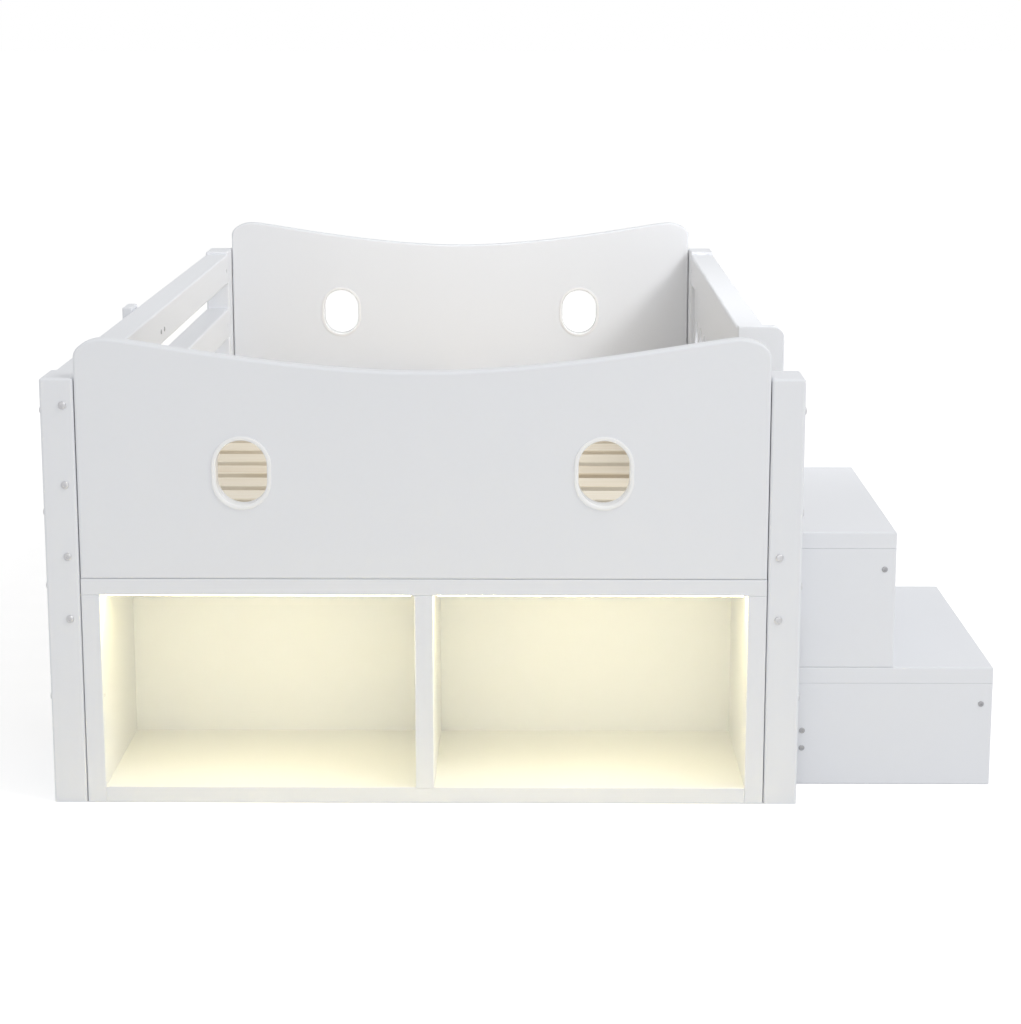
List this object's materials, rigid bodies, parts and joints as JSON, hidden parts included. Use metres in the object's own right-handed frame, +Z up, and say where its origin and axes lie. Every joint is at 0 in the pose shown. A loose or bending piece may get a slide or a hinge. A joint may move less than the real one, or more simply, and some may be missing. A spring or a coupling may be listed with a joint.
{
  "type": "childrens storage bed",
  "caption": "Low childrens bed with slatted deck, dipped end panels with oval windows, lit storage cubbies under the foot end, side guards and two steps.",
  "frame": {"origin": "middle of the footprint of bed and steps together, on the floor", "axes": "+X to the right towards the steps, +Y from the foot end with the cubbies to the head end, +Z up"},
  "size_m": [1.459, 1.975, 0.712],
  "materials": {
    "white_paint": "semi-gloss white paint",
    "pine": "bare planed pine",
    "window_trim": "gloss",
    "light_strip": "lit diffuser",
    "bolt_steel": "bright zinc",
    "screw_steel": "dark zinc"
  },
  "bodies": {
    "root": {"barrel_nuts": "bolt_steel", "centre_beam": "pine", "centre_legs": "pine", "cross_rail_back": "white_paint", "cubby_back": "white_paint", "cubby_divider": "white_paint", "cubby_floor": "white_paint", "cubby_side_left": "white_paint", "cubby_side_right": "white_paint", "cubby_top": "white_paint", "end_panel_back": "white_paint", "end_panel_front": "white_paint", "frame_bolts": "bolt_steel", "guard_left_batten": "white_paint", "guard_left_low_rail": "white_paint", "guard_left_top_rail": "white_paint", "guard_right_end_board": "white_paint", "guard_right_infill": "white_paint", "guard_right_top_rail": "white_paint", "ledger_left": "pine", "ledger_right": "pine", "light_strips": "light_strip", "post_back_left": "white_paint", "post_back_right": "white_paint", "post_front_left": "white_paint", "post_front_right": "white_paint", "side_rail_left": "white_paint", "side_rail_right": "white_paint", "slat_01": "pine", "slat_02": "pine", "slat_03": "pine", "slat_04": "pine", "slat_05": "pine", "slat_06": "pine", "slat_07": "pine", "slat_08": "pine", "slat_09": "pine", "slat_10": "pine", "slat_11": "pine", "slat_12": "pine", "slat_13": "pine", "slat_14": "pine", "slat_15": "pine", "slat_16": "pine", "step_back_lower": "white_paint", "step_back_upper": "white_paint", "step_front_lower": "white_paint", "step_front_upper": "white_paint", "step_inner_rail": "white_paint", "step_riser_lower": "white_paint", "step_riser_upper": "white_paint", "step_tread_lower": "white_paint", "step_tread_upper": "white_paint", "window_trim_back_left": "window_trim", "window_trim_back_right": "window_trim", "window_trim_front_left": "window_trim", "window_trim_front_right": "window_trim", "wood_screws": "screw_steel"}
  },
  "joints": []
}
